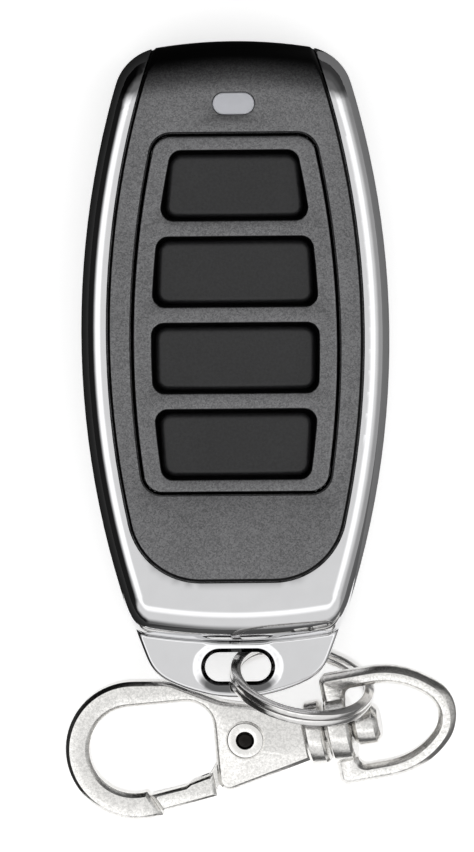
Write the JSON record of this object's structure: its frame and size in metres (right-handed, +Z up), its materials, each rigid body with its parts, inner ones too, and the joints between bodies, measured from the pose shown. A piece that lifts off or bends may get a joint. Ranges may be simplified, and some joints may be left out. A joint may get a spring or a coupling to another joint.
{
  "type": "alarm key fob",
  "caption": "Flat handheld alarm remote with a bright frame, black face, press keys and a signal window, hung on a split ring with a swivel snap hook.",
  "frame": {"origin": "on the flat back, below the widest part of the fob's body", "axes": "+Z up through the keys, +Y towards the blunt nose with the signal window, +X to the right when the keys face the viewer and the nose points up"},
  "size_m": [0.0392, 0.0778, 0.0136],
  "materials": {
    "bright_chrome": "polished plating",
    "black_face": "fine grain",
    "key_rubber": "satin",
    "grey_lens": "frosted",
    "black_back": "spark texture",
    "screw_steel": "zinc plated",
    "board_green": "solder mask",
    "switch_black": "moulded",
    "plunger_grey": "moulded",
    "chip_black": "moulded",
    "can_steel": "bright",
    "lamp_clear": "clear",
    "copper": "tinned copper",
    "chip_ceramic": "glazed",
    "cell_steel": "nickel plated",
    "contact_steel": "spring sheet",
    "ring_nickel": "nickel plated wire",
    "cast_nickel": "nickel plated casting",
    "rivet_dark": "darkened head",
    "spring_steel": "wire"
  },
  "bodies": {
    "housing": {"chrome_frame": "bright_chrome", "front_cover": "black_face", "keypad_surround": "black_face", "light_pipe": "grey_lens", "rear_cover": "black_back", "cover_screws": "screw_steel", "circuit_board": "board_green", "switch_bodies": "switch_black", "encoder_chip": "chip_black", "resonator": "can_steel", "led": "lamp_clear", "aerial": "copper", "smd_parts": "chip_ceramic", "battery": "cell_steel", "battery_contact": "contact_steel", "battery_clip": "contact_steel"},
    "key_1": {"button_1": "key_rubber", "switch_plunger_1": "plunger_grey"},
    "key_2": {"button_2": "key_rubber", "switch_plunger_2": "plunger_grey"},
    "key_3": {"button_3": "key_rubber", "switch_plunger_3": "plunger_grey"},
    "key_4": {"button_4": "key_rubber", "switch_plunger_4": "plunger_grey"},
    "ring": {"split_ring": "ring_nickel"},
    "loop": {"swivel_loop": "cast_nickel"},
    "hook": {"hook_body": "cast_nickel", "gate_rivet": "rivet_dark", "gate_spring": "spring_steel"},
    "lever": {"gate": "cast_nickel"}
  },
  "joints": [
    {"name": "key_1_press", "type": "slide", "parent": "housing", "child": "key_1", "axis": [0, 0, -1], "range_m": [0, 0.00025], "stiffness_N_per_m": 6000},
    {"name": "key_2_press", "type": "slide", "parent": "housing", "child": "key_2", "axis": [0, 0, -1], "range_m": [0, 0.00025], "stiffness_N_per_m": 6000},
    {"name": "key_3_press", "type": "slide", "parent": "housing", "child": "key_3", "axis": [0, 0, -1], "range_m": [0, 0.00025], "stiffness_N_per_m": 6000},
    {"name": "key_4_press", "type": "slide", "parent": "housing", "child": "key_4", "axis": [0, 0, -1], "range_m": [0, 0.00025], "stiffness_N_per_m": 6000},
    {"name": "ring_swing", "type": "hinge", "parent": "housing", "child": "ring", "pos_m": [-0.0003, -0.034, 0.0066], "axis": [-1, 0, 0], "range_deg": [0, 56]},
    {"name": "loop_swing", "type": "hinge", "parent": "ring", "child": "loop", "pos_m": [0.01303, -0.03664, 0.0068], "axis": [-0.0928, -0.4602, 0.8829], "range_deg": [0, 90]},
    {"name": "hook_swivel", "type": "hinge", "parent": "loop", "child": "hook", "pos_m": [0.01024, -0.0399, 0.00525], "axis": [0.9752, 0.172, 0.1392], "continuous": true},
    {"name": "gate_open", "type": "hinge", "parent": "hook", "child": "lever", "pos_m": [0.00075, -0.04086, 0.00404], "axis": [0.1048, 0.1948, -0.9752], "range_deg": [0, 35], "stiffness_Nm_per_rad": 0.004, "deforming": ["gate_spring"]}
  ]
}
